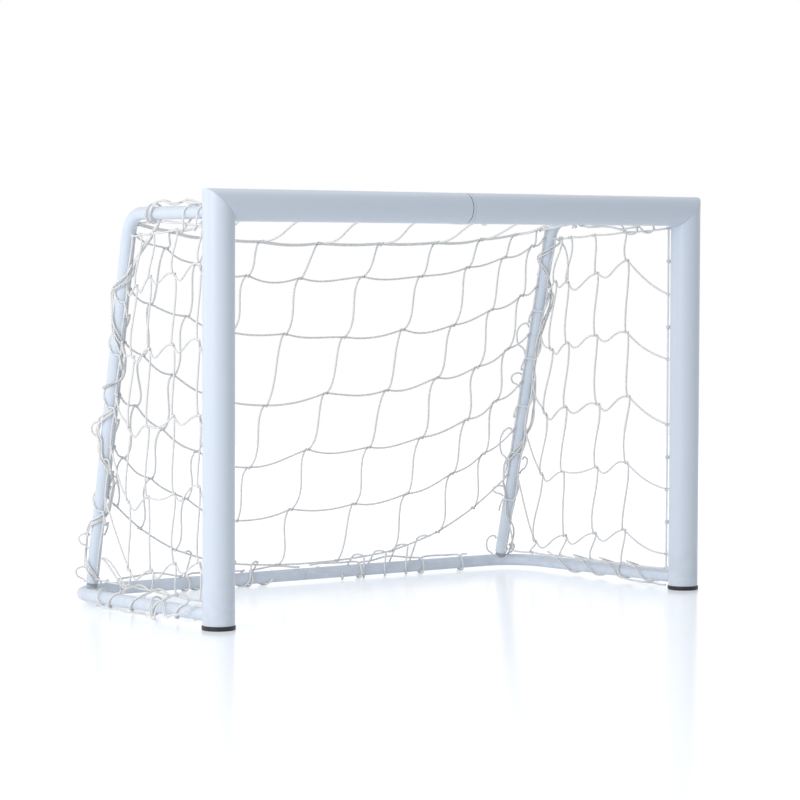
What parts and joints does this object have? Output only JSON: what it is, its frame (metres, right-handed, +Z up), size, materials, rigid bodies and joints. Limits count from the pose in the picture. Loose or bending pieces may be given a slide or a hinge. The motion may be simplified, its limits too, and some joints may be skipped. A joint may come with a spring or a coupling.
{
  "type": "mini soccer goal",
  "caption": "Small soccer goal: white round-tube front frame on black foot caps, thin tube ground frame and leaning stanchions that plug together, and a slack knotted net laced to them.",
  "frame": {"origin": "on the ground, at the middle of the goal's width and depth", "axes": "+X to the right of someone who looks into the goal, along the crossbar; +Y from the goal mouth to the back; +Z up"},
  "size_m": [1.203, 0.6006, 0.808],
  "materials": {
    "frame_white": "smooth glossy white powder coat",
    "cap_black": "satin moulded black plastic",
    "cord_white": "twisted white cord, dull",
    "hook_plastic": "moulded white plastic",
    "spring_steel": "plain rolled spring steel",
    "button_steel": "bright plated steel"
  },
  "bodies": {
    "goal": {"left_post": "frame_white", "right_post": "frame_white", "left_crossbar": "frame_white", "right_crossbar": "frame_white", "crossbar_sleeve": "frame_white", "left_foot_cap": "cap_black", "right_foot_cap": "cap_black", "left_ground_bar": "frame_white", "right_ground_bar": "frame_white", "rear_bar_sleeve": "frame_white", "left_stanchion": "frame_white", "right_stanchion": "frame_white", "left_ground_spigot": "frame_white", "right_ground_spigot": "frame_white", "left_top_spigot": "frame_white", "right_top_spigot": "frame_white", "left_foot_spigot": "frame_white", "right_foot_spigot": "frame_white", "crossbar_button_spring": "spring_steel", "rear_bar_button_spring": "spring_steel", "left_ground_button_spring": "spring_steel", "right_ground_button_spring": "spring_steel", "left_top_button_spring": "spring_steel", "right_top_button_spring": "spring_steel", "net_back": "cord_white", "net_top": "cord_white", "net_left": "cord_white", "net_right": "cord_white", "lacing_left_stanchion": "cord_white", "lacing_right_stanchion": "cord_white", "lacing_left_ground": "cord_white", "lacing_right_ground": "cord_white", "lacing_left_top": "cord_white", "lacing_right_top": "cord_white", "lacing_rear_left": "cord_white", "lacing_rear_right": "cord_white", "left_post_hook_1": "hook_plastic", "left_post_hook_2": "hook_plastic", "left_post_hook_3": "hook_plastic", "left_post_hook_4": "hook_plastic", "right_post_hook_1": "hook_plastic", "right_post_hook_2": "hook_plastic", "right_post_hook_3": "hook_plastic", "right_post_hook_4": "hook_plastic", "left_crossbar_hook_1": "hook_plastic", "left_crossbar_hook_2": "hook_plastic", "left_crossbar_hook_3": "hook_plastic", "right_crossbar_hook_1": "hook_plastic", "right_crossbar_hook_2": "hook_plastic", "right_crossbar_hook_3": "hook_plastic"},
    "crossbar_button": {"crossbar_button": "button_steel"},
    "rear_bar_button": {"rear_bar_button": "button_steel"},
    "left_ground_button": {"left_ground_button": "button_steel"},
    "right_ground_button": {"right_ground_button": "button_steel"},
    "left_top_button": {"left_top_button": "button_steel"},
    "right_top_button": {"right_top_button": "button_steel"}
  },
  "joints": [
    {"name": "crossbar_button_press", "type": "slide", "parent": "goal", "child": "crossbar_button", "axis": [0, 0, 1], "range_m": [0, 0.005], "stiffness_N_per_m": 1500, "springref_m": -0.003, "deforming": ["crossbar_button_spring"]},
    {"name": "rear_bar_button_press", "type": "slide", "parent": "goal", "child": "rear_bar_button", "axis": [0, 0, -1], "range_m": [0, 0.0045], "stiffness_N_per_m": 1500, "springref_m": -0.003, "deforming": ["rear_bar_button_spring"]},
    {"name": "left_ground_button_press", "type": "slide", "parent": "goal", "child": "left_ground_button", "axis": [0, 0, 1], "range_m": [0, 0.0045], "stiffness_N_per_m": 1500, "springref_m": -0.003, "deforming": ["left_ground_button_spring"]},
    {"name": "right_ground_button_press", "type": "slide", "parent": "goal", "child": "right_ground_button", "axis": [0, 0, 1], "range_m": [0, 0.0045], "stiffness_N_per_m": 1500, "springref_m": -0.003, "deforming": ["right_ground_button_spring"]},
    {"name": "left_top_button_press", "type": "slide", "parent": "goal", "child": "left_top_button", "axis": [0, 0, 1], "range_m": [0, 0.0045], "stiffness_N_per_m": 1500, "springref_m": -0.003, "deforming": ["left_top_button_spring"]},
    {"name": "right_top_button_press", "type": "slide", "parent": "goal", "child": "right_top_button", "axis": [0, 0, 1], "range_m": [0, 0.0045], "stiffness_N_per_m": 1500, "springref_m": -0.003, "deforming": ["right_top_button_spring"]}
  ]
}
